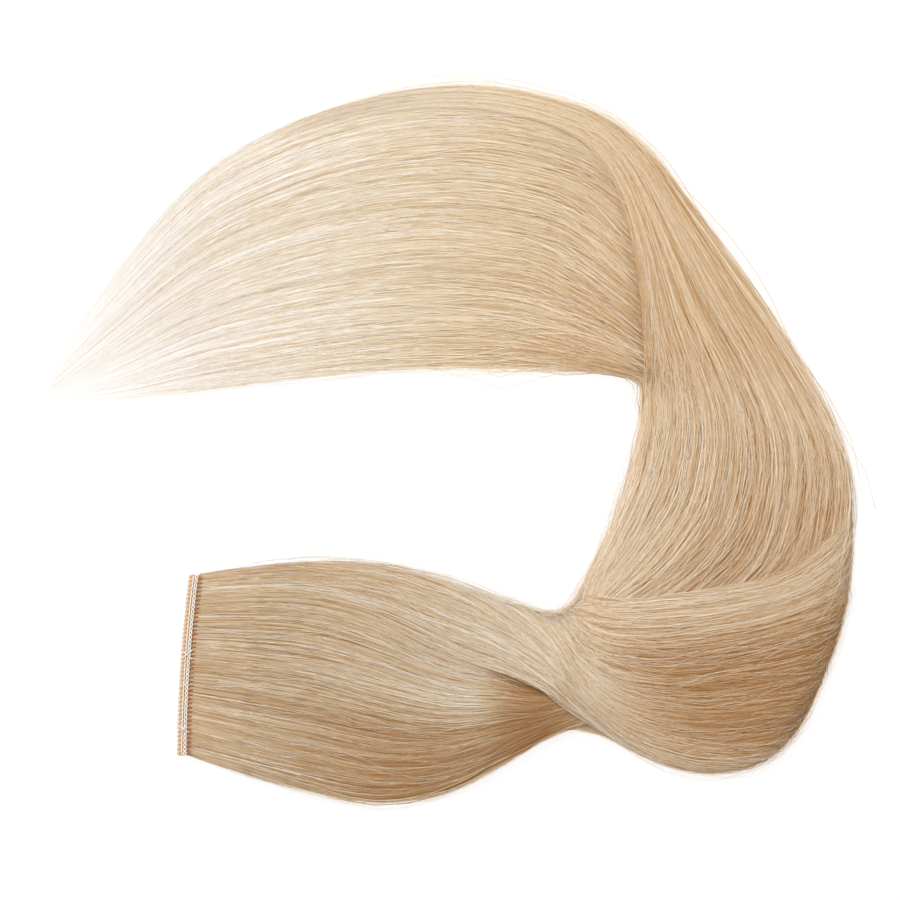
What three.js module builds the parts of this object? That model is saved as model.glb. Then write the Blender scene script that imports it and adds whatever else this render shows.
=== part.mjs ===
// Clip in hair extension: long straight hair on a short sewn band, lying in one big curl.
// Millimetres. X runs from the band towards the curl, Y across the floor, Z up from the floor.
// The origin is the middle of the flat underside of the clip.
import * as THREE from 'three';
import * as BufferGeometryUtils from 'three/addons/utils/BufferGeometryUtils.js';

const SPREAD_LENGTH = 249; // tail tips to the right side of the curl
const SPREAD_WIDTH = 212; // lowest lock to the top of the curl
const HAIR_HEIGHT = 15; // thickest place, where the hair first twists
const BAND_LENGTH = 54;
const BAND_WIDTH = 3.6;
const BAND_THICKNESS = 1.5;
const BAND_BOW = 0.8; // how far the middle of the band bends to the left
const BAND_LEAN = 3.6; // how far the lower end stands left of the upper end
const BAND_SHIFT = 4; // middle of the band, left of the clip's centre line
const CROWN = 0.42; // share of its height that the hair loses towards the two edges of a section
const CLIP_LENGTH = 32;
const CLIP_WIDTH = 11;
const CLIP_HEIGHT = 2.6;
const CLIP_BEVEL = 0.7;
const PIECE_GAP = 0.3; // air between two pieces
const DRAPE_MARGIN = 6; // hair stays lifted this far past the clip
const DRAPE_RUN = 26; // then it sinks to the floor over this length
const FRONT_LOCKS = 8; // locks of the sheet that wraps over the front of the curl and ends in the tips
const MAIN_LOCKS = 6; // locks of the sheet that fans out behind it
const LOCK_OVERLAP = 1.15; // width of a lock as a share of its spacing
const LOCK_THICKNESS = 0.24; // half thickness of a lock as a share of the hair's height
const BACKING_SHARE = 0.35; // how far the backing below the locks fills the upper half
const TOP_COLUMNS = 6; // points across the top of each lock
const BOTTOM_COLUMNS = 2;
const RING_STEP = 5.8; // rings of the hair's skin are this far apart
const TIP_STEP = 7;
const TIP_STAGGER = 0.2; // tips end this much of a section apart
const FINE_STEP = 0.02; // part of a section, for measuring along the hair

// Sections along the hair, from the band to the tips.
// ix, iy: edge on the left hand of the way the hair runs. ox, oy: edge on the right hand.
// x as a share of SPREAD_LENGTH, y as a share of SPREAD_WIDTH, high as a share of HAIR_HEIGHT.
// from, to: turn of the front sheet round the section, 0 left edge, 0.25 top, 0.5 right edge, 0.75 below.
// near, far: place of the main sheet across the section, 0 left edge, 1 right edge.
// level: its height in the section, 0 below, 1 on top.
const SECTIONS = [
  { ix: -0.006, iy: 0.127, ox: -0.024, oy: -0.126, high: 0.23, from: -0.42, to: 0.085, near: 0.17, far: 1, level: 0.7 },
  { ix: 0.057, iy: 0.135, ox: 0.039, oy: -0.149, high: 0.28, from: -0.42, to: 0.085, near: 0.17, far: 1, level: 0.7 },
  { ix: 0.14, iy: 0.142, ox: 0.122, oy: -0.176, high: 0.34, from: -0.41, to: 0.095, near: 0.19, far: 1, level: 0.7 },
  { ix: 0.223, iy: 0.134, ox: 0.206, oy: -0.193, high: 0.41, from: -0.39, to: 0.125, near: 0.25, far: 1, level: 0.69 },
  { ix: 0.295, iy: 0.113, ox: 0.289, oy: -0.177, high: 0.5, from: -0.35, to: 0.175, near: 0.35, far: 1, level: 0.65 },
  { ix: 0.354, iy: 0.088, ox: 0.36, oy: -0.135, high: 0.62, from: -0.28, to: 0.22, near: 0.44, far: 1, level: 0.6 },
  { ix: 0.399, iy: 0.071, ox: 0.408, oy: -0.101, high: 0.8, from: -0.2, to: 0.295, near: 0.59, far: 1, level: 0.52 },
  { ix: 0.426, iy: 0.07, ox: 0.449, oy: -0.082, high: 1, from: -0.1, to: 0.42, near: 0.58, far: 1, level: 0.44 },
  { ix: 0.441, iy: 0.082, ox: 0.487, oy: -0.102, high: 1, from: -0.02, to: 0.5, near: 0.2, far: 0.84, level: 0.46 },
  { ix: 0.451, iy: 0.102, ox: 0.539, oy: -0.134, high: 0.93, from: 0.035, to: 0.51, near: 0.02, far: 0.62, level: 0.56 },
  { ix: 0.461, iy: 0.127, ox: 0.598, oy: -0.151, high: 0.87, from: 0.07, to: 0.52, near: 0, far: 0.5, level: 0.6 },
  { ix: 0.472, iy: 0.152, ox: 0.66, oy: -0.14, high: 0.83, from: 0.105, to: 0.55, near: 0, far: 0.52, level: 0.62 },
  { ix: 0.484, iy: 0.184, ox: 0.705, oy: -0.098, high: 0.8, from: 0.155, to: 0.6, near: 0, far: 0.62, level: 0.62 },
  { ix: 0.496, iy: 0.223, ox: 0.738, oy: -0.024, high: 0.76, from: 0.235, to: 0.7, near: 0, far: 0.76, level: 0.63 },
  { ix: 0.509, iy: 0.269, ox: 0.766, oy: 0.074, high: 0.73, from: 0.355, to: 0.8, near: 0, far: 0.9, level: 0.66 },
  { ix: 0.518, iy: 0.314, ox: 0.774, oy: 0.175, high: 0.7, from: 0.45, to: 0.92, near: 0, far: 0.97, level: 0.68 },
  { ix: 0.524, iy: 0.356, ox: 0.77, oy: 0.272, high: 0.68, from: 0.5, to: 1, near: 0, far: 1, level: 0.72 },
  { ix: 0.524, iy: 0.394, ox: 0.745, oy: 0.352, high: 0.68, from: 0.5, to: 1, near: 0, far: 1, level: 0.75 },
  { ix: 0.485, iy: 0.408, ox: 0.701, oy: 0.44, high: 0.66, from: 0.5, to: 1, near: 0.2, far: 1, level: 0.75 },
  { ix: 0.449, iy: 0.413, ox: 0.643, oy: 0.54, high: 0.63, from: 0.5, to: 1, near: 0.39, far: 1, level: 0.75 },
  { ix: 0.408, iy: 0.417, ox: 0.582, oy: 0.639, high: 0.6, from: 0.5, to: 1, near: 0.63, far: 1, level: 0.74 },
  { ix: 0.366, iy: 0.417, ox: 0.53, oy: 0.719, high: 0.54, from: 0.5, to: 1, near: 0.8, far: 1, level: 0.72 },
  { ix: 0.325, iy: 0.417, ox: 0.459, oy: 0.776, high: 0.48, from: 0.5, to: 1, near: 0.9, far: 1, level: 0.68 },
  { ix: 0.235, iy: 0.413, ox: 0.319, oy: 0.811, high: 0.4, from: 0.5, to: 1, near: 0.92, far: 1, level: 0.6 },
  { ix: 0.122, iy: 0.401, ox: 0.162, oy: 0.783, high: 0.32, from: 0.5, to: 1, near: 0.93, far: 1, level: 0.5 },
  { ix: 0.004, iy: 0.384, ox: 0.007, oy: 0.694, high: 0.24, from: 0.5, to: 1, near: 0.94, far: 1, level: 0.5 },
  { ix: -0.092, iy: 0.37, ox: -0.111, oy: 0.54, high: 0.16, from: 0.5, to: 1, near: 0.95, far: 1, level: 0.5 },
  { ix: -0.199, iy: 0.363, ox: -0.193, oy: 0.391, high: 0.08, from: 0.5, to: 1, near: 0.95, far: 1, level: 0.5 },
];
const LAST = SECTIONS.length - 1;
const TAIL_START = 21; // section where the front sheet begins to fill the whole height
const TIPS_PART = 24.6; // section where the tips part

const mix = (a, b, k) => a + (b - a) * k;
const clamp01 = (k) => Math.min(Math.max(k, 0), 1);
const smooth = (k) => clamp01(k) ** 2 * (3 - 2 * clamp01(k));

// A smooth curve through one column of the table, at place t counted in sections.
function column(name, t) {
  const i = Math.min(Math.floor(t), LAST - 1);
  const k = t - i;
  const value = (n) => SECTIONS[Math.min(Math.max(n, 0), LAST)][name];
  const [a, b, c, d] = [value(i - 1), value(i), value(i + 1), value(i + 2)];
  return b + 0.5 * k * (c - a + k * (2 * a - 5 * b + 4 * c - d + k * (3 * (b - c) + d - a)));
}

// A point in the middle of the band, share 0 at its upper end and 1 at its lower end.
function bandMiddle(share) {
  const bow = BAND_BOW * 4 * share * (1 - share);
  const lean = BAND_LEAN * (0.5 - share);
  return new THREE.Vector2(-BAND_SHIFT + lean - bow, BAND_LENGTH * (0.5 - share));
}

// How far the underside is lifted off the floor by the clip below it.
function lift(x, y) {
  const besideX = Math.max(Math.abs(x) - CLIP_WIDTH / 2 - DRAPE_MARGIN, 0);
  const besideY = Math.max(Math.abs(y) - CLIP_LENGTH / 2 - DRAPE_MARGIN, 0);
  return (CLIP_HEIGHT + PIECE_GAP) * smooth(1 - Math.hypot(besideX, besideY) / DRAPE_RUN);
}

// One upright section of the hair: its two edges, width, height and front bow.
function section(t) {
  const inner = new THREE.Vector2(column('ix', t) * SPREAD_LENGTH, column('iy', t) * SPREAD_WIDTH);
  const outer = new THREE.Vector2(column('ox', t) * SPREAD_LENGTH, column('oy', t) * SPREAD_WIDTH);
  // Close to the band the edges follow the band.
  const atBand = 1 - smooth(t);
  const start = BAND_WIDTH / 2 + PIECE_GAP;
  inner.lerp(bandMiddle(0).add(new THREE.Vector2(start, 0)), atBand);
  outer.lerp(bandMiddle(1).add(new THREE.Vector2(start, 0)), atBand);
  const across = outer.clone().sub(inner);
  const width = across.length();
  return { inner, along: across.normalize(), width, high: column('high', t) * HAIR_HEIGHT, bow: -BAND_BOW * atBand };
}

// From a place s across and z up in a section to a point in space.
function inSpace(at, s, z) {
  const share = s / at.width;
  const x = at.inner.x + at.along.x * s + at.bow * 4 * share * (1 - share);
  const y = at.inner.y + at.along.y * s;
  const crowned = z * (1 - CROWN * (2 * share - 1) ** 2);
  return new THREE.Vector3(x, y, Math.max(crowned, 0) + lift(x, y));
}

// A place on the rounded outline of a section, moved in by inset. Turn 0 is the left edge, 0.25 the top.
function onOutline(at, turn, inset) {
  const r = Math.max(at.high / 2 - inset, 0.05);
  const flat = Math.max(at.width - 2 * inset - 2 * r, 0.1);
  const half = Math.PI * r + flat;
  const round = (Math.PI / 2) * r;
  const whole = ((turn % 1) + 1) % 1;
  const side = whole < 0.5 ? 1 : -1;
  const run = side > 0 ? whole * 2 * half : (1 - whole) * 2 * half;
  const middle = at.high / 2;
  if (run < round) {
    const angle = run / r;
    return { s: inset + r * (1 - Math.cos(angle)), z: middle + side * r * Math.sin(angle) };
  }
  if (run < round + flat) {
    return { s: inset + r + run - round, z: middle + side * r };
  }
  const angle = (half - run) / r;
  return { s: at.width - inset - r * (1 - Math.cos(angle)), z: middle + side * r * Math.sin(angle) };
}

// Triangles between rings of points. firstTip and lastTip close the ends where they are given.
function wallBetween(rings, firstTip, lastTip) {
  const sides = rings[0].length;
  const triangles = [];
  for (let i = 0; i < rings.length - 1; i += 1) {
    for (let j = 0; j < sides; j += 1) {
      const next = (j + 1) % sides;
      triangles.push([rings[i][j], rings[i][next], rings[i + 1][next]]);
      triangles.push([rings[i][j], rings[i + 1][next], rings[i + 1][j]]);
    }
  }
  for (let j = 0; j < sides; j += 1) {
    const next = (j + 1) % sides;
    if (firstTip) {
      triangles.push([firstTip, rings[0][next], rings[0][j]]);
    }
    if (lastTip) {
      triangles.push([lastTip, rings[rings.length - 1][j], rings[rings.length - 1][next]]);
    }
  }
  return triangles;
}

function asGeometry(triangles) {
  const geometry = new THREE.BufferGeometry();
  const numbers = triangles.flat().flatMap((p) => [p.x, p.y, p.z]);
  geometry.setAttribute('position', new THREE.Float32BufferAttribute(numbers, 3));
  return BufferGeometryUtils.mergeVertices(geometry, 1e-4);
}

const averageOf = (ring) => ring.reduce((sum, p) => sum.add(p), new THREE.Vector3()).divideScalar(ring.length);

// Places along the hair where rings are cut, about this step apart.
function places(first, last, step) {
  const middle = (t) => inSpace(section(t), section(t).width / 2, 0);
  const list = [first];
  let run = 0;
  for (let t = first; t < last; t += FINE_STEP) {
    run += middle(t).distanceTo(middle(t + FINE_STEP));
    if (run >= step) {
      list.push(t + FINE_STEP);
      run = 0;
    }
  }
  // The last ring stands where it is asked for.
  return [...list.filter((t) => t < last - 2 * FINE_STEP), last];
}

const share = (k, count) => (k + 0.5) / count;

// The locks of both sheets where they cross one section: place, slope, half width and half thickness.
function locksIn(at, t) {
  const locks = [];
  const inTail = smooth((t - TAIL_START + 2) / 3);
  const turned = column('to', t) - column('from', t);
  for (let k = 0; k < FRONT_LOCKS; k += 1) {
    const turn = mix(column('from', t), column('to', t), share(k, FRONT_LOCKS));
    const thick = at.high * LOCK_THICKNESS;
    const place = onOutline(at, turn, thick);
    const before = onOutline(at, turn - 0.01, thick);
    const after = onOutline(at, turn + 0.01, thick);
    locks.push({
      s: place.s,
      z: mix(place.z, at.high / 2, inTail),
      slope: Math.atan2(after.z - before.z, after.s - before.s) * (1 - inTail),
      wide: (0.5 * LOCK_OVERLAP * (2 * at.width + at.high) * turned) / FRONT_LOCKS,
      thick: mix(thick, at.high / 2, inTail),
    });
  }
  const near = column('near', t);
  const far = column('far', t);
  for (let k = 0; k < MAIN_LOCKS; k += 1) {
    locks.push({
      s: mix(near, far, share(k, MAIN_LOCKS)) * at.width,
      z: at.high * column('level', t),
      slope: 0,
      wide: (0.5 * LOCK_OVERLAP * at.width * (far - near)) / MAIN_LOCKS,
      thick: at.high * LOCK_THICKNESS,
    });
  }
  return locks;
}

// Height of the top of one lock above a place s across the section.
function lockTop(lock, s) {
  const cos = Math.cos(lock.slope);
  const sin = Math.sin(lock.slope);
  const reach = (lock.wide * cos) ** 2 + (lock.thick * sin) ** 2;
  const off = s - lock.s;
  if (off * off >= reach) {
    return 0;
  }
  const tilt = (lock.wide ** 2 - lock.thick ** 2) * sin * cos * off;
  return lock.z + (tilt + lock.wide * lock.thick * Math.sqrt(reach - off * off)) / reach;
}

// The skin of the hair in one section: the tops of the locks and the rounded underside, from left to right.
function profile(t) {
  const at = section(t);
  const locks = locksIn(at, t);
  const half = at.high / 2;
  const roundness = (s) => Math.sqrt(1 - Math.max(1 - Math.min(s, at.width - s) / half, 0) ** 2);
  const top = [];
  for (let j = 0; j <= TOP_COLUMNS * FRONT_LOCKS; j += 1) {
    const s = (j / (TOP_COLUMNS * FRONT_LOCKS)) * at.width;
    const lockTops = Math.max(...locks.map((lock) => lockTop(lock, s)));
    const backing = half * (1 + BACKING_SHARE * roundness(s));
    top.push({ s, z: Math.min(Math.max(lockTops, backing), half * (1 + roundness(s))) });
  }
  const below = [];
  for (let j = 0; j <= BOTTOM_COLUMNS * FRONT_LOCKS; j += 1) {
    const s = (j / (BOTTOM_COLUMNS * FRONT_LOCKS)) * at.width;
    below.push({ s, z: half * (1 - roundness(s)) });
  }
  return { at, half, top, below };
}

// The skin over all locks, from the band to where the tips part.
function skin() {
  const rings = places(0, TIPS_PART, RING_STEP).map((t) => {
    const { at, top, below } = profile(t);
    return [...top, ...below.slice(1, -1).reverse()].map((p) => inSpace(at, p.s, p.z));
  });
  return wallBetween(rings, averageOf(rings[0]), null);
}

// One tip: its share of the skin's last ring goes on alone and tapers to a point.
function tip(k) {
  const last = LAST - TIP_STAGGER * (1 + ((k * 3) % 4));
  const rings = places(TIPS_PART, last, TIP_STEP).map((t) => {
    const { at, half, top, below } = profile(t);
    const above = top.slice(k * TOP_COLUMNS, (k + 1) * TOP_COLUMNS + 1);
    const under = below.slice(k * BOTTOM_COLUMNS, (k + 1) * BOTTOM_COLUMNS + 1).reverse();
    // At the two outer edges the top and the underside meet in one point.
    const lower = under.filter((p) => p.s > 0 && p.s < at.width);
    const middle = share(k, FRONT_LOCKS) * at.width;
    const taper = mix(0.1, 1, ((last - t) / (last - TIPS_PART)) ** 0.6);
    return [...above, ...lower].map((p) => inSpace(at, mix(middle, p.s, taper), mix(half, p.z, taper)));
  });
  return wallBetween(rings, null, averageOf(rings[rings.length - 1]));
}

function hairGeometry() {
  const triangles = skin();
  for (let k = 0; k < FRONT_LOCKS; k += 1) {
    triangles.push(...tip(k));
  }
  return asGeometry(triangles);
}

// The sewn band: a bowed strip with rounded long edges that drapes over the clip.
function bandGeometry() {
  // Shares of the band's width and thickness.
  const corners = [[-0.4, 0], [0.4, 0], [0.5, 0.25], [0.5, 0.75], [0.4, 1], [-0.4, 1], [-0.5, 0.75], [-0.5, 0.25]];
  const rings = [];
  const steps = 24;
  for (let i = 0; i <= steps; i += 1) {
    const middle = bandMiddle(i / steps);
    const ring = [];
    for (const [across, up] of corners) {
      const x = middle.x + across * BAND_WIDTH;
      ring.push(new THREE.Vector3(x, middle.y, lift(middle.x, middle.y) + up * BAND_THICKNESS));
    }
    rings.push(ring);
  }
  return asGeometry(wallBetween(rings, averageOf(rings[0]), averageOf(rings[steps])));
}

// The clip: a flat bar with round ends and a bevelled top edge.
function clipGeometry() {
  const end = CLIP_WIDTH / 2 - CLIP_BEVEL;
  const straight = CLIP_LENGTH / 2 - CLIP_WIDTH / 2;
  const outline = new THREE.Shape();
  outline.absarc(0, straight, end, 0, Math.PI, false);
  outline.absarc(0, -straight, end, Math.PI, 2 * Math.PI, false);
  outline.closePath();
  const geometry = new THREE.ExtrudeGeometry(outline, {
    depth: CLIP_HEIGHT - CLIP_BEVEL * 2,
    bevelSize: CLIP_BEVEL,
    bevelThickness: CLIP_BEVEL,
    bevelSegments: 2,
    curveSegments: 12,
  });
  geometry.translate(0, 0, CLIP_BEVEL);
  return geometry;
}

function piece(name, geometry, colour, roughness, metalness) {
  const material = new THREE.MeshStandardMaterial({ color: colour, roughness, metalness });
  const mesh = new THREE.Mesh(geometry, material);
  mesh.name = name;
  return mesh;
}

const group = new THREE.Group();
group.name = 'clip_in_hair_extension';
group.add(piece('weft_band', bandGeometry(), 0xd9c3a3, 0.85, 0));
group.add(piece('hair', hairGeometry(), 0xcfae80, 0.55, 0));
group.add(piece('clip', clipGeometry(), 0xc2a070, 0.45, 0.2));

export default group;
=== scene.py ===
"""Looks of the clip in hair extension: strands, stitched band, clip, floor, light and camera. Metres."""

import bpy
import numpy as np
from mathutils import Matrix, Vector


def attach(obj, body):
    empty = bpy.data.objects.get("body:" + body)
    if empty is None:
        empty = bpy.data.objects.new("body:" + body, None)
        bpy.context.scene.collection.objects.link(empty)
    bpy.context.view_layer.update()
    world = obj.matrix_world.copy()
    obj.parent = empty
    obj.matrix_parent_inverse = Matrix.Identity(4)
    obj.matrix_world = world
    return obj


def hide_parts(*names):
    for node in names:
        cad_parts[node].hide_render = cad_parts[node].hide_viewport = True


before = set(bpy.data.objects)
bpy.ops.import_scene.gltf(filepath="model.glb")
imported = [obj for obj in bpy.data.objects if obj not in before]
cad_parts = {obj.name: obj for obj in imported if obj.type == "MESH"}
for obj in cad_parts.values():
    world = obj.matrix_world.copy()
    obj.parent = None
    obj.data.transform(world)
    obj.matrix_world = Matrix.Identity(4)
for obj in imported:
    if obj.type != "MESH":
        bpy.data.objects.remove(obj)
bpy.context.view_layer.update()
rng = np.random.default_rng(7)

SPREAD_LENGTH = 0.249  # tail tips to the right side of the curl
SPREAD_WIDTH = 0.212  # lowest lock to the top of the curl
HAIR_HEIGHT = 0.015
BAND_LENGTH = 0.054
BAND_WIDTH = 0.0036
BAND_THICKNESS = 0.0015
BAND_BOW = 0.0008
BAND_LEAN = 0.0036
BAND_SHIFT = 0.004
CLIP_LENGTH = 0.032
CLIP_WIDTH = 0.011
CLIP_HEIGHT = 0.0026
PIECE_GAP = 0.0003
DRAPE_MARGIN = 0.006
DRAPE_RUN = 0.026
CROWN = 0.42  # share of its height that the hair loses towards the two edges of a section
BAND_RISE = 0.42  # height of the hair at the band, as a share of its height further on
STITCH_PITCH = 0.00127  # from one return loop of the band to the next
EDGE_REACH = 1.8  # the rounding of the edges is this much wider than high
BAND_TUCK = 0.0004  # the hairs start this far below the edge of the band
LEAST_HEIGHT = 0.0001  # of a hair over the floor
LOOSE = 0.0012  # how far the loosest hairs stray from their sheet
FAR_STRAY = (0.0032, 5)  # farthest way of a stray hair, and how rare the far ones are
BUNDLES = 70  # bundles that the strands of one sheet gather into
BUNDLE_PLACES = 80  # places along the hair where the course of a bundle is drawn
STRAND_WIDTH = 0.00007  # half widths of the flat strips
BROAD_STRAND_WIDTH = 0.00008
UNDER_STRAND_WIDTH = 0.00014
STRAY_WIDTH = 0.00004
EDGE_HAIR_WIDTH = 0.00003
MIDDLE = (0.07, 0.06, 0)  # middle of the part on the floor

# Sections along the hair, from the band to the tips, as shares of the sizes above.
# ix, iy: edge on the left hand of the way the hair runs. ox, oy: edge on the right hand. high: height.
# start, end: turn of the front sheet round the section, 0 left edge, 0.25 top, 0.5 right edge, 0.75 below.
# near, far: place of the main sheet across the section, 0 left edge, 1 right edge. level: its height there.
COLUMNS = ("ix", "iy", "ox", "oy", "high", "start", "end", "near", "far", "level")
SECTIONS = np.array([
    (-0.006, 0.127, -0.024, -0.126, 0.23, -0.42, 0.085, 0.17, 1, 0.7),
    (0.057, 0.135, 0.039, -0.149, 0.28, -0.42, 0.085, 0.17, 1, 0.7),
    (0.14, 0.142, 0.122, -0.176, 0.34, -0.41, 0.095, 0.19, 1, 0.7),
    (0.223, 0.134, 0.206, -0.193, 0.41, -0.39, 0.125, 0.25, 1, 0.69),
    (0.295, 0.113, 0.289, -0.177, 0.5, -0.35, 0.175, 0.35, 1, 0.65),
    (0.354, 0.088, 0.36, -0.135, 0.62, -0.28, 0.22, 0.44, 1, 0.6),
    (0.399, 0.071, 0.408, -0.101, 0.8, -0.2, 0.295, 0.59, 1, 0.52),
    (0.426, 0.07, 0.449, -0.082, 1, -0.1, 0.42, 0.58, 1, 0.44),
    (0.441, 0.082, 0.487, -0.102, 1, -0.02, 0.5, 0.2, 0.84, 0.46),
    (0.451, 0.102, 0.539, -0.134, 0.93, 0.035, 0.51, 0.02, 0.62, 0.56),
    (0.461, 0.127, 0.598, -0.151, 0.87, 0.07, 0.52, 0, 0.5, 0.6),
    (0.472, 0.152, 0.66, -0.14, 0.83, 0.105, 0.55, 0, 0.52, 0.62),
    (0.484, 0.184, 0.705, -0.098, 0.8, 0.155, 0.6, 0, 0.62, 0.62),
    (0.496, 0.223, 0.738, -0.024, 0.76, 0.235, 0.7, 0, 0.76, 0.63),
    (0.509, 0.269, 0.766, 0.074, 0.73, 0.355, 0.8, 0, 0.9, 0.66),
    (0.518, 0.314, 0.774, 0.175, 0.7, 0.45, 0.92, 0, 0.97, 0.68),
    (0.524, 0.356, 0.77, 0.272, 0.68, 0.5, 1, 0, 1, 0.72),
    (0.524, 0.394, 0.745, 0.352, 0.68, 0.5, 1, 0, 1, 0.75),
    (0.485, 0.408, 0.701, 0.44, 0.66, 0.5, 1, 0.2, 1, 0.75),
    (0.449, 0.413, 0.643, 0.54, 0.63, 0.5, 1, 0.39, 1, 0.75),
    (0.408, 0.417, 0.582, 0.639, 0.6, 0.5, 1, 0.63, 1, 0.74),
    (0.366, 0.417, 0.53, 0.719, 0.54, 0.5, 1, 0.8, 1, 0.72),
    (0.325, 0.417, 0.459, 0.776, 0.48, 0.5, 1, 0.9, 1, 0.68),
    (0.235, 0.413, 0.319, 0.811, 0.4, 0.5, 1, 0.92, 1, 0.6),
    (0.122, 0.401, 0.162, 0.783, 0.32, 0.5, 1, 0.93, 1, 0.5),
    (0.004, 0.384, 0.007, 0.694, 0.24, 0.5, 1, 0.94, 1, 0.5),
    (-0.092, 0.37, -0.111, 0.54, 0.16, 0.5, 1, 0.95, 1, 0.5),
    (-0.199, 0.363, -0.193, 0.391, 0.08, 0.5, 1, 0.95, 1, 0.5),
])
LAST = len(SECTIONS) - 1


def mix(a, b, k):
    return a + (b - a) * k


def smooth(k):
    k = np.clip(k, 0, 1)
    return k * k * (3 - 2 * k)


def column(name, t):
    """A smooth curve through one column of the table, at places t counted in sections."""
    values = SECTIONS[:, COLUMNS.index(name)]
    i = np.clip(np.floor(t).astype(int), 0, LAST - 1)
    k = t - i
    a, b, c, d = (values[np.clip(i + n, 0, LAST)] for n in (-1, 0, 1, 2))
    return b + 0.5 * k * (c - a + k * (2 * a - 5 * b + 4 * c - d + k * (3 * (b - c) + d - a)))


def band_middle(share):
    """x and y of the middle of the band, share 0 at its upper end and 1 at its lower end."""
    x = -BAND_SHIFT + BAND_LEAN * (0.5 - share) - BAND_BOW * 4 * share * (1 - share)
    return x, BAND_LENGTH * (0.5 - share)


def lift(x, y):
    """How far the clip holds what lies over it off the floor."""
    beside_x = np.maximum(np.abs(x) - CLIP_WIDTH / 2 - DRAPE_MARGIN, 0)
    beside_y = np.maximum(np.abs(y) - CLIP_LENGTH / 2 - DRAPE_MARGIN, 0)
    return (CLIP_HEIGHT + PIECE_GAP) * smooth(1 - np.hypot(beside_x, beside_y) / DRAPE_RUN)


def section(t):
    """The upright sections of the hair at places t: left edge, way across, width, height and bow."""
    at_band = 1 - smooth(t)
    start = BAND_WIDTH / 2 - BAND_TUCK
    edges = []
    for x_name, y_name, share in (("ix", "iy", 0), ("ox", "oy", 1)):
        band_x, band_y = band_middle(share)
        x = mix(column(x_name, t) * SPREAD_LENGTH, band_x + start, at_band)
        y = mix(column(y_name, t) * SPREAD_WIDTH, band_y, at_band)
        edges.append(np.stack([x, y], -1))
    across = edges[1] - edges[0]
    width = np.linalg.norm(across, axis=-1)
    return {
        "left": edges[0],
        "way": across / width[..., None],
        "width": width,
        "high": column("high", t) * HAIR_HEIGHT,
        "bow": -BAND_BOW * at_band,
        # The hairs leave the band at its own height.
        "rise": mix(BAND_RISE, 1, smooth(t / 1.2)),
    }


def in_space(at, s, z):
    """From places s across and z up in the sections to points in space."""
    share = s / at["width"]
    x = at["left"][..., 0] + at["way"][..., 0] * s + at["bow"] * 4 * share * (1 - share)
    y = at["left"][..., 1] + at["way"][..., 1] * s
    crowned = z * at["rise"] * (1 - CROWN * (2 * share - 1) ** 2)
    return np.stack([x, y, np.maximum(crowned, LEAST_HEIGHT) + lift(x, y)], -1)


def roundness(at, s):
    """1 over the middle of a section, falling to 0 at its two edges."""
    half = at["high"] / 2 * EDGE_REACH
    return np.sqrt(np.maximum(1 - np.maximum(1 - np.minimum(s, at["width"] - s) / half, 0) ** 2, 0))


def on_outline(at, turn, inset):
    """Places on the rounded outline of the sections, moved in by inset."""
    r = np.maximum(at["high"] / 2 - inset, 0.00005)
    reach = r * EDGE_REACH
    flat = np.maximum(at["width"] - 2 * inset - 2 * reach, 0.0001)
    bend = np.pi / 4 * (r + reach)
    half = 2 * bend + flat
    whole = turn % 1
    side = np.where(whole < 0.5, 1, -1)
    run = np.where(whole < 0.5, whole, 1 - whole) * 2 * half
    left_angle = np.pi / 2 * run / bend
    right_angle = np.pi / 2 * (half - run) / bend
    s = np.where(run < bend, inset + reach * (1 - np.cos(left_angle)),
                 np.where(run < bend + flat, inset + reach + run - bend,
                          at["width"] - inset - reach * (1 - np.cos(right_angle))))
    up = np.where(run < bend, np.sin(left_angle), np.where(run < bend + flat, 1, np.sin(right_angle)))
    return s, at["high"] / 2 + side * r * up


def front_place(at, t, share, depth):
    """Front sheet: turns round the outline under the main sheet, then fills the tail."""
    # Between the band and the twist the strands crowd on the underside and spread over the top.
    crowd = 1 + smooth((t - 2) / 3) * smooth((8.2 - t) / 2.5)
    turn = mix(column("start", t), column("end", t), share ** crowd)
    s, z = on_outline(at, turn, at["high"] * 0.42 * depth)
    in_tail = smooth((t - 16) / 2.5)
    s = mix(s, (1 - share) * at["width"], in_tail)
    near = column("near", t) * at["width"]
    covered = smooth((s - near) / (0.05 * at["width"]) + 0.5)
    top = at["high"] * mix(0.92, 0.5, covered)
    tail_z = at["high"] / 2 + (top - at["high"] * 0.92 * depth - at["high"] / 2) * roundness(at, s)
    return s, mix(z, tail_z, in_tail)


def main_place(at, t, share, depth):
    """Main sheet: fans out from below the front sheet and folds over the tail."""
    s = mix(column("near", t), column("far", t), share) * at["width"]
    # Where the front sheet crosses it, the near side dips below.
    dip = 0.24 * (1 - smooth(share / 0.3)) * smooth((t - 4.8) / 1.1) * smooth((9 - t) / 2)
    level = column("level", t) + 0.25 * (1 - 2 * depth) - dip
    return s, at["high"] * (0.5 + (level - 0.5) * roundness(at, s))


def under_place(at, t, share, depth):
    """Strands on the underside, against the floor."""
    s = share * at["width"]
    return s, at["high"] * (0.5 - (0.49 - 0.2 * depth) * roundness(at, s))


def waves(count, t, reach, slow=0.25, quick=0.9):
    """Gentle random wandering along the hair, one row for each of count."""
    total = np.zeros((count, t.shape[-1]))
    for beat, size in ((slow, 1.0), (quick, 0.35)):
        phase = rng.uniform(0, 2 * np.pi, (count, 1))
        pace = beat * rng.uniform(0.7, 1.4, (count, 1))
        total += size * rng.normal(0, 1, (count, 1)) * np.sin(pace * 2 * np.pi * t + phase)
    return reach * total


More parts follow.
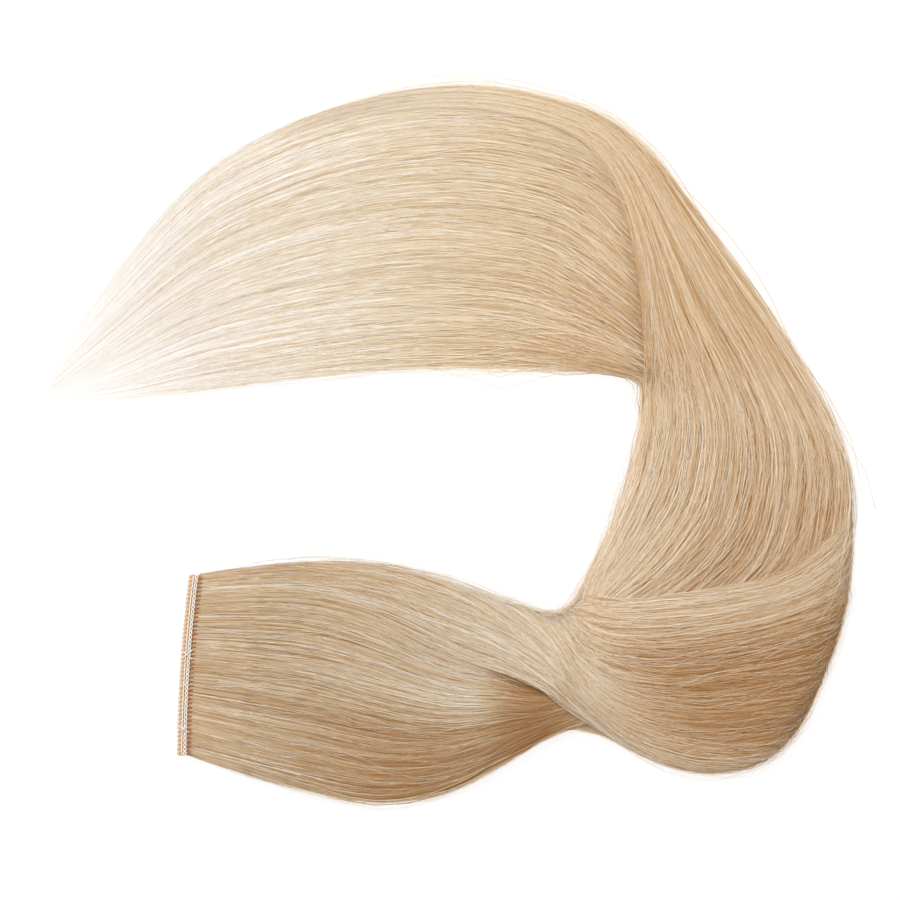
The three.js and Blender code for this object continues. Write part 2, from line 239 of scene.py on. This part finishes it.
def shaded(law, t, share):
    """How much darker the strands are: painted shade near the band, on the lower side of the fall, in the
    crease where the sheets press together, under the flap and on the far side of the curl, painted light on
    the near side of the curl, a darker stretch of the main sheet over the tail that pales towards its ends,
    and darker tips of the front sheet.
    """
    curl = smooth((t - 8) / 3) * smooth((17 - t) / 4)
    ends = 0.25 * smooth((t - 23) / 2.6)
    # Painted shade: the strands near the band are darker.
    root = 0.19 * smooth((5 - t) / 3)
    if law is main_place:
        spread = mix(smooth((share - 0.3) / 0.4), 1, smooth((t - 4.4) / 1.2))
        # Painted shade on the lower side of the fall, and a painted shadow in the crease below the twist.
        painted_fall_shade = smooth((t - 1) / 3) * smooth((7.5 - t) / 1.5) * spread * (0.46 + 0.12 * share)
        painted_crease_shadow = 0.42 * smooth((t - 4.4) / 1) * smooth((7.6 - t) / 1.2)
        over = 0.17 * smooth((t - 16.5) / 2) - 0.25 * smooth((t - 21.2) / 2.5)
        # Painted light on the near side of the curl and painted shade on its far side.
        return root + painted_fall_shade + painted_crease_shadow + over + curl * (0.66 * share - 0.22)
    if law is front_place:
        # Painted shadow under the flap; round the curl, painted light on the near side and painted shade on
        # the far side, easing off at the rim.
        painted_flap_shadow = 0.16 * smooth((t - 16) / 1.5) * smooth((21.5 - t) / 2.5)
        painted_curl_light_and_shade = 0.68 * smooth(share * 2.5) - 0.44 * smooth((share - 0.64) * 3.4) - 0.14
        return root + curl * painted_curl_light_and_shade + painted_flap_shadow + ends
    return root


FINE = np.linspace(0, LAST, 400)
FINE_SECTIONS = section(FINE)
FINE_MIDDLES = in_space(FINE_SECTIONS, FINE_SECTIONS["width"] / 2, 0 * FINE)
RUN = np.concatenate([[0], np.cumsum(np.linalg.norm(np.diff(FINE_MIDDLES, axis=0), axis=1))])


def evenly(start, stop, points):
    """Places t from start to stop, evenly spaced by length along the hair."""
    run = mix(np.interp(start, FINE, RUN), np.interp(stop, FINE, RUN), np.linspace(0, 1, points)[None, :])
    return np.interp(run.ravel(), RUN, FINE).reshape(run.shape)


def strands(law, count, first, last, points, shade=0.6, width=STRAND_WIDTH, gather=0.35,
            wander=0.007, depth_power=1.0, stray=(LOOSE, 5.0), edges=0.0, contrast=1.0):
    """Centre lines, sideways directions, half widths and shades of strands that follow one sheet's law.

    They start spread evenly over the sheet, and gather into bundles that come and go along it. With edges,
    they keep to that share of the sheet next to its two edges.
    """
    spread = rng.uniform(0, 1, (count, 1))
    if edges:
        beside_edge = edges * spread ** 2
        spread = np.where(rng.uniform(0, 1, (count, 1)) < 0.5, beside_edge, 1 - beside_edge)
    t = evenly(first(spread), last(spread), points)
    middles = np.sort(rng.uniform(0, 1, BUNDLES))
    bundle = np.abs(spread - middles[None, :]).argmin(1)
    grid = np.linspace(0, LAST, BUNDLE_PLACES)[None, :]
    pull = np.clip(0.5 + waves(BUNDLES, grid, 0.5, 0.12, 0.4), 0, 1)
    sway = waves(BUNDLES, grid, 0.012 * gather, 0.12, 0.4)
    steps = BUNDLE_PLACES - 1
    along = np.clip(t / LAST * steps, 0, steps - 0.001)
    i = along.astype(int)

    def at_places(table):
        return mix(table[bundle[:, None], i], table[bundle[:, None], i + 1], along - i)

    free = smooth(t / 1.5)
    share = spread + gather * at_places(pull) * (middles[bundle][:, None] - spread) * free
    share = np.clip(share + (at_places(sway) + waves(count, t, wander, 0.2, 0.6)) * free, 0.001, 0.999)
    depth = rng.uniform(0, 1, (count, 1)) ** depth_power
    deep = depth * 0.38 + rng.uniform(0, 0.08, BUNDLES)[bundle][:, None]
    at = section(t)
    # Most hairs keep to the sheet, and a few stray from it, also past its silhouette.
    loose = stray[0] * rng.uniform(0, 1, (count, 1)) ** stray[1] * free * waves(count, t, 1, 0.1, 0.25)
    s, z = law(at, t, share, deep)
    line = in_space(at, s + loose, z + np.abs(loose) * 0.3)
    s2, z2 = law(at, t, np.clip(share + 0.01, 0, 1), deep)
    beside = in_space(at, s2 + 1e-6, z2) - in_space(at, s, z)
    # The strips lie flatter than the sheet's steep edges, so that they catch the light from above.
    beside[..., 2] *= 0.2
    ahead = np.gradient(line, axis=1)
    ahead /= np.linalg.norm(ahead, axis=-1, keepdims=True) + 1e-12
    beside -= ahead * np.sum(beside * ahead, -1, keepdims=True)
    beside /= np.linalg.norm(beside, axis=-1, keepdims=True) + 1e-12
    upward = np.cross(ahead, beside)
    roll = rng.normal(0, 0.35, (count, 1)) + waves(count, t, 0.1)
    side = beside * np.cos(roll)[..., None] + upward * np.sin(roll)[..., None]
    # Hair grows finer in the tail, and each strand narrows to a quarter over its last fifth.
    last_fifth = smooth((np.linspace(0, 1, points)[None, :] - 0.8) / 0.2)
    fine = mix(1, 0.42, smooth((t - 22) / 4)) * mix(1, 0.25, last_fifth)
    half = width * rng.uniform(0.6, 1.4, (count, 1)) * fine
    angle = spread[:, 0] * 2 * np.pi
    streaks = 0.04 * sum(np.sin(angle * beat + rng.uniform(0, 6)) for beat in (3, 7, 13, 29))
    own_tone = 0.24 * rng.normal(0, 1, count) + streaks
    bundle_tone = rng.normal(0, 0.03, BUNDLES)[bundle]
    # Painted shade: strands deeper in the sheet are darker.
    tone = shade + contrast * own_tone - 0.4 * deep[:, 0] + bundle_tone
    # The painted shade and light from shaded() are taken off each strand's tone.
    tone = tone[:, None] + waves(count, t, 0.04, 0.15, 0.5) - shaded(law, t, share)
    tone += 0.3 * np.clip(np.abs(loose) / 0.0008, 0, 1)
    return line, side, half, np.clip(tone, 0.01, 0.98), t / LAST


def new_mesh(name, points, faces, uv, material):
    """A mesh object from arrays of points, faces and the place of each point on the shade map."""
    mesh = bpy.data.meshes.new(name)
    mesh.vertices.add(len(points))
    mesh.vertices.foreach_set("co", points.astype(np.float32).ravel())
    mesh.loops.add(faces.size)
    mesh.loops.foreach_set("vertex_index", faces.astype(np.int32).ravel())
    mesh.polygons.add(len(faces))
    mesh.polygons.foreach_set("loop_start", np.arange(0, faces.size, faces.shape[1], dtype=np.int32))
    mesh.polygons.foreach_set("use_smooth", np.ones(len(faces), bool))
    if uv is not None:
        layer = mesh.uv_layers.new(name="OFBake")
        layer.data.foreach_set("uv", uv[faces.ravel()].astype(np.float32).ravel())
    mesh.update()
    mesh.validate()
    piece = bpy.data.objects.new(name, mesh)
    bpy.context.scene.collection.objects.link(piece)
    mesh.materials.append(material)
    return piece


def ribbon_piece(name, made, material):
    """One mesh of flat strips, from one or more results of strands()."""
    all_points, all_faces, all_uv, base = [], [], [], 0
    for line, side, half, shade, along in made:
        count, points = line.shape[:2]
        both = np.stack([line - side * half[..., None], line + side * half[..., None]], 2)
        u = shade[..., None] + np.array([-0.004, 0.004])
        uv = np.stack([u, np.broadcast_to(along[..., None], (count, points, 2))], -1)
        index = np.arange(count * points * 2).reshape(count, points, 2) + base
        faces = np.stack([index[:, :-1, 0], index[:, :-1, 1], index[:, 1:, 1], index[:, 1:, 0]], -1)
        all_points.append(both.reshape(-1, 3))
        all_uv.append(uv.reshape(-1, 2))
        all_faces.append(faces.reshape(-1, 4))
        base += count * points * 2
    points, faces, uv = (np.concatenate(parts) for parts in (all_points, all_faces, all_uv))
    return new_mesh(name, points, faces, uv, material)


def sheet_piece(name, law, first, last, depth, shade, rows, across, material):
    """A smooth backing below the strands of one sheet."""
    t = evenly(np.array([[first]]), np.array([[last]]), rows).T * np.ones((1, across))
    share = np.ones((rows, 1)) * np.linspace(0.02, 0.98, across)[None, :]
    at = section(t)
    s, z = law(at, t, share, depth)
    points = in_space(at, s, z).reshape(-1, 3)
    u = shade + 0.1 * share
    uv = np.stack([u, t / LAST], -1).reshape(-1, 2)
    index = np.arange(rows * across).reshape(rows, across)
    faces = np.stack([index[:-1, :-1], index[:-1, 1:], index[1:, 1:], index[1:, :-1]], -1).reshape(-1, 4)
    return new_mesh(name, points, faces, uv, material)


def tubes_piece(name, paths, radius, sides, material):
    """One mesh of round threads. Each path is an array of points."""
    all_points, all_faces, base = [], [], 0
    angle = np.linspace(0, 2 * np.pi, sides, endpoint=False)
    for path in paths:
        ahead = np.gradient(path, axis=0)
        ahead /= np.linalg.norm(ahead, axis=1, keepdims=True) + 1e-12
        aid = np.array([0.3, 0.5, 0.81])
        one = np.cross(ahead, aid)
        one /= np.linalg.norm(one, axis=1, keepdims=True) + 1e-12
        two = np.cross(ahead, one)
        spokes = one[:, None] * np.cos(angle)[:, None] + two[:, None] * np.sin(angle)[:, None]
        ring = path[:, None] + radius * spokes
        index = np.arange(len(path) * sides).reshape(len(path), sides) + base
        following = np.roll(index, -1, 1)
        faces = np.stack([index[:-1], following[:-1], following[1:], index[1:]], -1)
        all_points.append(ring.reshape(-1, 3))
        all_faces.append(faces.reshape(-1, 4))
        base += ring.shape[0] * sides
    return new_mesh(name, np.concatenate(all_points), np.concatenate(all_faces), None, material)


# Materials

def plain_material(name, colour, roughness, metallic=0.0):
    """A material of one colour."""
    material = bpy.data.materials.new(name)
    material.use_nodes = True
    shader = material.node_tree.nodes["Principled BSDF"]
    shader.inputs["Base Color"].default_value = (*colour, 1)
    shader.inputs["Roughness"].default_value = roughness
    shader.inputs["Metallic"].default_value = metallic
    return material


def ramp(tree, stops):
    """A colour ramp node from places and colours."""
    node = tree.nodes.new("ShaderNodeValToRGB")
    elements = node.color_ramp.elements
    while len(elements) < len(stops):
        elements.new(0.5)
    for element, (place, colour) in zip(elements, stops):
        element.position = place
        element.color = (*colour, 1)
    return node


def hair_material():
    """Blonde hair: caramel to cream by the tone of each strand, which holds the strand's own tone and painted
    shade and light, and paler along the tail.
    """
    material = plain_material("blonde_hair", (0.6, 0.42, 0.24), 0.42)
    tree = material.node_tree
    shader = tree.nodes["Principled BSDF"]
    place = tree.nodes.new("ShaderNodeUVMap")
    place.uv_map = "OFBake"
    split = tree.nodes.new("ShaderNodeSeparateXYZ")
    tree.links.new(place.outputs["UV"], split.inputs["Vector"])
    body = ramp(tree, [(0.0, (0.43, 0.205, 0.07)), (0.4, (0.65, 0.442, 0.245)),
                       (0.7, (0.775, 0.607, 0.425)), (1.0, (0.92, 0.84, 0.73))])
    tail = ramp(tree, [(0.0, (0.52, 0.35, 0.19)), (0.4, (0.78, 0.645, 0.46)),
                       (0.7, (0.87, 0.78, 0.635)), (1.0, (0.94, 0.9, 0.83))])
    reach = ramp(tree, [(0.765, (0, 0, 0)), (0.88, (1, 1, 1))])
    tree.links.new(split.outputs["X"], body.inputs["Fac"])
    tree.links.new(split.outputs["X"], tail.inputs["Fac"])
    tree.links.new(split.outputs["Y"], reach.inputs["Fac"])
    tint = tree.nodes.new("ShaderNodeMix")
    tint.data_type = "RGBA"
    tree.links.new(reach.outputs["Color"], tint.inputs["Factor"])
    tree.links.new(body.outputs["Color"], tint.inputs["A"])
    tree.links.new(tail.outputs["Color"], tint.inputs["B"])
    # Ashy at the band, golden round the curl and in the broad part of the tail, white at the tips.
    cast = ramp(tree, [(0.0, (0.92, 0.965, 1)), (0.18, (0.94, 0.985, 1)), (0.33, (1, 0.975, 0.92)),
                       (0.82, (1, 0.955, 0.83)), (0.9, (1, 1, 1))])
    tree.links.new(split.outputs["Y"], cast.inputs["Fac"])
    warm = tree.nodes.new("ShaderNodeMix")
    warm.data_type = "RGBA"
    warm.blend_type = "MULTIPLY"
    warm.inputs["Factor"].default_value = 1
    tree.links.new(tint.outputs["Result"], warm.inputs["A"])
    tree.links.new(cast.outputs["Color"], warm.inputs["B"])
    tree.links.new(warm.outputs["Result"], shader.inputs["Base Color"])
    shader.inputs["Specular IOR Level"].default_value = 0.28
    # Painted glow: a faint warm emission stands in for light that passes from hair to hair, and keeps the
    # gaps warm.
    shader.inputs["Emission Color"].default_value = (0.9, 0.48, 0.18, 1)
    shader.inputs["Emission Strength"].default_value = 0.035
    return material


hair = hair_material()
thread = plain_material("pale_thread", (0.96, 0.92, 0.86), 0.7)
loops = plain_material("return_loops", (0.84, 0.62, 0.4), 0.6)
strip = plain_material("band_base", (0.62, 0.36, 0.16), 0.8)
# Painted shade: dark caramel tubes stand for the shade where the hair bundles leave the band.
bundle_shade = plain_material("painted_bundle_shade", (0.45, 0.17, 0.05), 0.7)
clip_paint = plain_material("clip_paint", (0.42, 0.3, 0.18), 0.4, 0.3)
white = plain_material("white_table", (0.12, 0.12, 0.12), 0.9)
white_shader = white.node_tree.nodes["Principled BSDF"]
white_shader.inputs["Emission Color"].default_value = (1, 1, 1, 1)
white_shader.inputs["Emission Strength"].default_value = 0.9


def between(low, high):
    """Ends at random places t."""
    return lambda spread: rng.uniform(low, high, spread.shape)


def tips(low, high, power, skew=0.0):
    """Ends from low to high. With skew, the strands in the middle of the sheet are longer."""
    def places(spread):
        longer = 1 - skew * np.abs(2 * spread - 1)
        return mix(low, high, rng.uniform(0, 1, spread.shape) ** power * longer)
    return places


def fixed(value):
    """Ends that all lie at one place t."""
    return lambda spread: np.full(spread.shape, float(value))


pieces = []
QUICK = 1.0


def number(count):
    return int(count * QUICK)


for part in ("a", "b"):
    pieces.append(ribbon_piece("front_strands_" + part, [
        strands(front_place, number(2600), fixed(0), between(16.0, 18.0), 38, 0.62),
    ], hair))
pieces.append(ribbon_piece("main_strands", [
    strands(main_place, number(2500), fixed(0), tips(20.8, 24.6, 1.2), 40, 0.62, BROAD_STRAND_WIDTH),
], hair))
pieces.append(ribbon_piece("tail_strands", [
    strands(front_place, number(4300), between(14.5, 17.0), tips(21.6, 27.0, 1.9, 0.12), 23,
            shade=0.69, width=BROAD_STRAND_WIDTH, gather=0.06, stray=(0.0036, 4.0), contrast=0.6),
], hair))
pieces.append(ribbon_piece("under_strands", [
    strands(under_place, number(800), fixed(0), between(17.5, 18.5), 26, 0.6, UNDER_STRAND_WIDTH),
], hair))
pieces.append(ribbon_piece("stray_hairs", [
    strands(front_place, number(240), between(0, 3), between(16.0, 17.0), 40,
            shade=1.0, width=STRAY_WIDTH, gather=0.0, wander=0.03, depth_power=8.0, stray=FAR_STRAY),
    strands(main_place, number(240), between(0, 8), between(22.0, 24.0), 40,
            shade=1.0, width=STRAY_WIDTH, gather=0.0, wander=0.03, depth_power=8.0, stray=FAR_STRAY),
    strands(front_place, number(300), between(17, 19), between(25.4, 27.0), 26,
            shade=0.6, width=0.00005, gather=0.0, wander=0.015, depth_power=3.0, stray=FAR_STRAY),
    strands(main_place, number(120), between(0.2, 2.5), between(3, 6), 30,
            shade=1.0, width=0.000035, gather=0.0, wander=0.02, depth_power=8.0),
], hair))
pieces.append(ribbon_piece("edge_hairs", [
    strands(under_place, number(1000), between(0, 6), between(8, 17.5), 22, shade=0.8,
            width=EDGE_HAIR_WIDTH, gather=0.0, wander=0.01, depth_power=0.4, stray=(0.0017, 0.9), edges=0.05),
    strands(front_place, number(420), between(15, 18), between(20, 24), 16, shade=0.8,
            width=EDGE_HAIR_WIDTH, gather=0.0, wander=0.01, depth_power=0.4, stray=(0.0026, 1.0), edges=0.08),
], hair))
# The backings are given darker tones than their strands: painted shade in the gaps between the strands.
pieces.append(sheet_piece("front_backing", front_place, 0, 17, 0.46, 0.42, 160, 40, hair))
pieces.append(sheet_piece("main_backing", main_place, 0, 21.5, 0.46, 0.42, 180, 40, hair))
pieces.append(sheet_piece("tail_backing", front_place, 15.5, 22.2, 0.5, 0.62, 90, 40, hair))
pieces.append(sheet_piece("under_backing", under_place, 0, 18, 0.5, 0.5, 160, 30, hair))
for piece in pieces:
    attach(piece, "root")
    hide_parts("hair")

# The sewn band

def on_band(share, across, up):
    """Points on the band: share along it, across from -0.5 at the left to 0.5, up from its underside."""
    x, y = band_middle(share)
    return np.stack([x + across * BAND_WIDTH, y + 0 * across, lift(x, y) + up + 0 * across], -1)


stitches = int(BAND_LENGTH / STITCH_PITCH)
turns = mix(0.008, 1, (np.arange(stitches) + 0.5) / stitches)
reach = np.linspace(0, 1, 9)
half_stitch = 0.5 / stitches
bow = np.sin(np.pi * reach)
loop_paths, chain_paths, bundle_shade_paths = [], [], []
for share in turns:
    jitter = rng.uniform(-0.1, 0.1)
    along = share + half_stitch * (reach - 0.5) * 1.9
    loop_paths.append(on_band(along, -0.14 - (0.3 + 0.1 * jitter) * bow, 0.0008 + 0.0005 * bow))
    # Short dark tubes on the band's hair side: painted shade where each bundle of hair leaves the band.
    along = share + half_stitch * (0.5 + jitter * reach)
    bundle_shade_paths.append(on_band(along, 0.31 + 0.34 * reach, 0.0016 + 0.0001 * reach))
    round_turn = 2 * np.pi * (reach + jitter)
    along = share + half_stitch * 0.95 * np.cos(round_turn)
    chain_paths.append(on_band(along, 0.17 + 0.1 * np.sin(round_turn), 0.0017 + 0 * reach))
line_share = np.linspace(0.012, 0.996, 160)
chain_paths.append(on_band(line_share, -0.09 + 0.015 * np.sin(line_share * 300), 0.0015 + 0 * line_share))

rows = 60
share_grid = np.linspace(0.008, 1, rows)
ring_across = np.array([-0.4, 0.4, 0.46, 0.46, 0.4, -0.3, -0.38, -0.42])
ring_up = np.array([0.0, 0.0, 0.0004, 0.0009, 0.0011, 0.0011, 0.0009, 0.0004])
strip_points = np.stack([on_band(share, ring_across, ring_up) for share in share_grid])
index = np.arange(rows * len(ring_up)).reshape(rows, len(ring_up))
following = np.roll(index, -1, 1)
strip_faces = np.stack([following[:-1], index[:-1], index[1:], following[1:]], -1).reshape(-1, 4)
band_pieces = [
    new_mesh("band_strip", strip_points.reshape(-1, 3), strip_faces, None, strip),
    tubes_piece("return_loops", loop_paths, 0.00032, 6, loops),
    tubes_piece("bundle_shade_tubes", bundle_shade_paths, 0.00022, 6, bundle_shade),
    tubes_piece("chain_stitches", chain_paths, 0.00019, 6, thread),
]


def tack(path):
    """A tack thread from points given as share along the band, across and up."""
    path = np.array(path)
    k = np.linspace(0, len(path) - 1, 8 * len(path))
    fine = np.stack([np.interp(k, np.arange(len(path)), path[:, n]) for n in range(3)], -1)
    return np.stack([on_band(p[0], np.array(p[1]), p[2]) for p in fine])


tack_paths = [
    tack([(0.415, -0.5, 0.0009), (0.44, -0.1, 0.0019), (0.47, 0.45, 0.0016)]),
    tack([(0.475, -0.5, 0.0009), (0.445, 0.0, 0.0021), (0.42, 0.42, 0.0016)]),
    tack([(0.61, 0.05, 0.0016), (0.617, -0.3, 0.0019), (0.625, -0.55, 0.0009)]),
    tack([(0.835, -0.55, 0.0009), (0.85, 0.0, 0.002), (0.87, 0.48, 0.0016)]),
    tack([(0.862, -0.1, 0.0018), (0.85, 0.1, 0.0024), (0.842, 0.35, 0.0018)]),
]
band_pieces.append(tubes_piece("tack_threads", tack_paths, 0.00017, 6, thread))
for piece in band_pieces:
    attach(piece, "root")
    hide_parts("weft_band")

clip_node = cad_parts["clip"]
clip_node.data.materials.clear()
clip_node.data.materials.append(clip_paint)

# Floor, light and camera

bpy.ops.mesh.primitive_plane_add(size=4, location=(MIDDLE[0], MIDDLE[1], -0.0003))
floor = bpy.context.object
floor.name = "white_floor"
floor.data.materials.append(white)

world = bpy.data.worlds.new("soft_white")
bpy.context.scene.world = world
world.use_nodes = True
world.node_tree.nodes["Background"].inputs["Color"].default_value = (1, 1, 1, 1)
world.node_tree.nodes["Background"].inputs["Strength"].default_value = 0.3


def area_light(name, place, size, power):
    """A square light that shines at the middle of the part."""
    data = bpy.data.lights.new(name, "AREA")
    data.size = size
    data.energy = power
    lamp = bpy.data.objects.new(name, data)
    lamp.location = place
    way = np.array(MIDDLE) - np.array(place)
    lamp.rotation_euler = Vector(way).to_track_quat("-Z", "Y").to_euler()
    bpy.context.scene.collection.objects.link(lamp)


area_light("upper_window", (-0.2, 0.6, 0.85), 0.5, 5.55)
area_light("left_window", (-0.75, 0.15, 0.6), 0.4, 2.4)
area_light("overhead", (0.2, 0.1, 1.1), 0.6, 2.2)
area_light("right_window", (0.85, -0.05, 0.35), 0.4, 0.7)

VIEW_CENTRE = (0.0734, 0.0636)
VIEW_HEIGHT = 1.116
camera_data = bpy.data.cameras.new("photo_camera")
camera_data.lens = 150
camera_data.sensor_width = 36
camera = bpy.data.objects.new("photo_camera", camera_data)
camera.location = (VIEW_CENTRE[0], VIEW_CENTRE[1], VIEW_HEIGHT)
bpy.context.scene.collection.objects.link(camera)
bpy.context.scene.camera = camera
bpy.context.scene.view_settings.view_transform = "Standard"
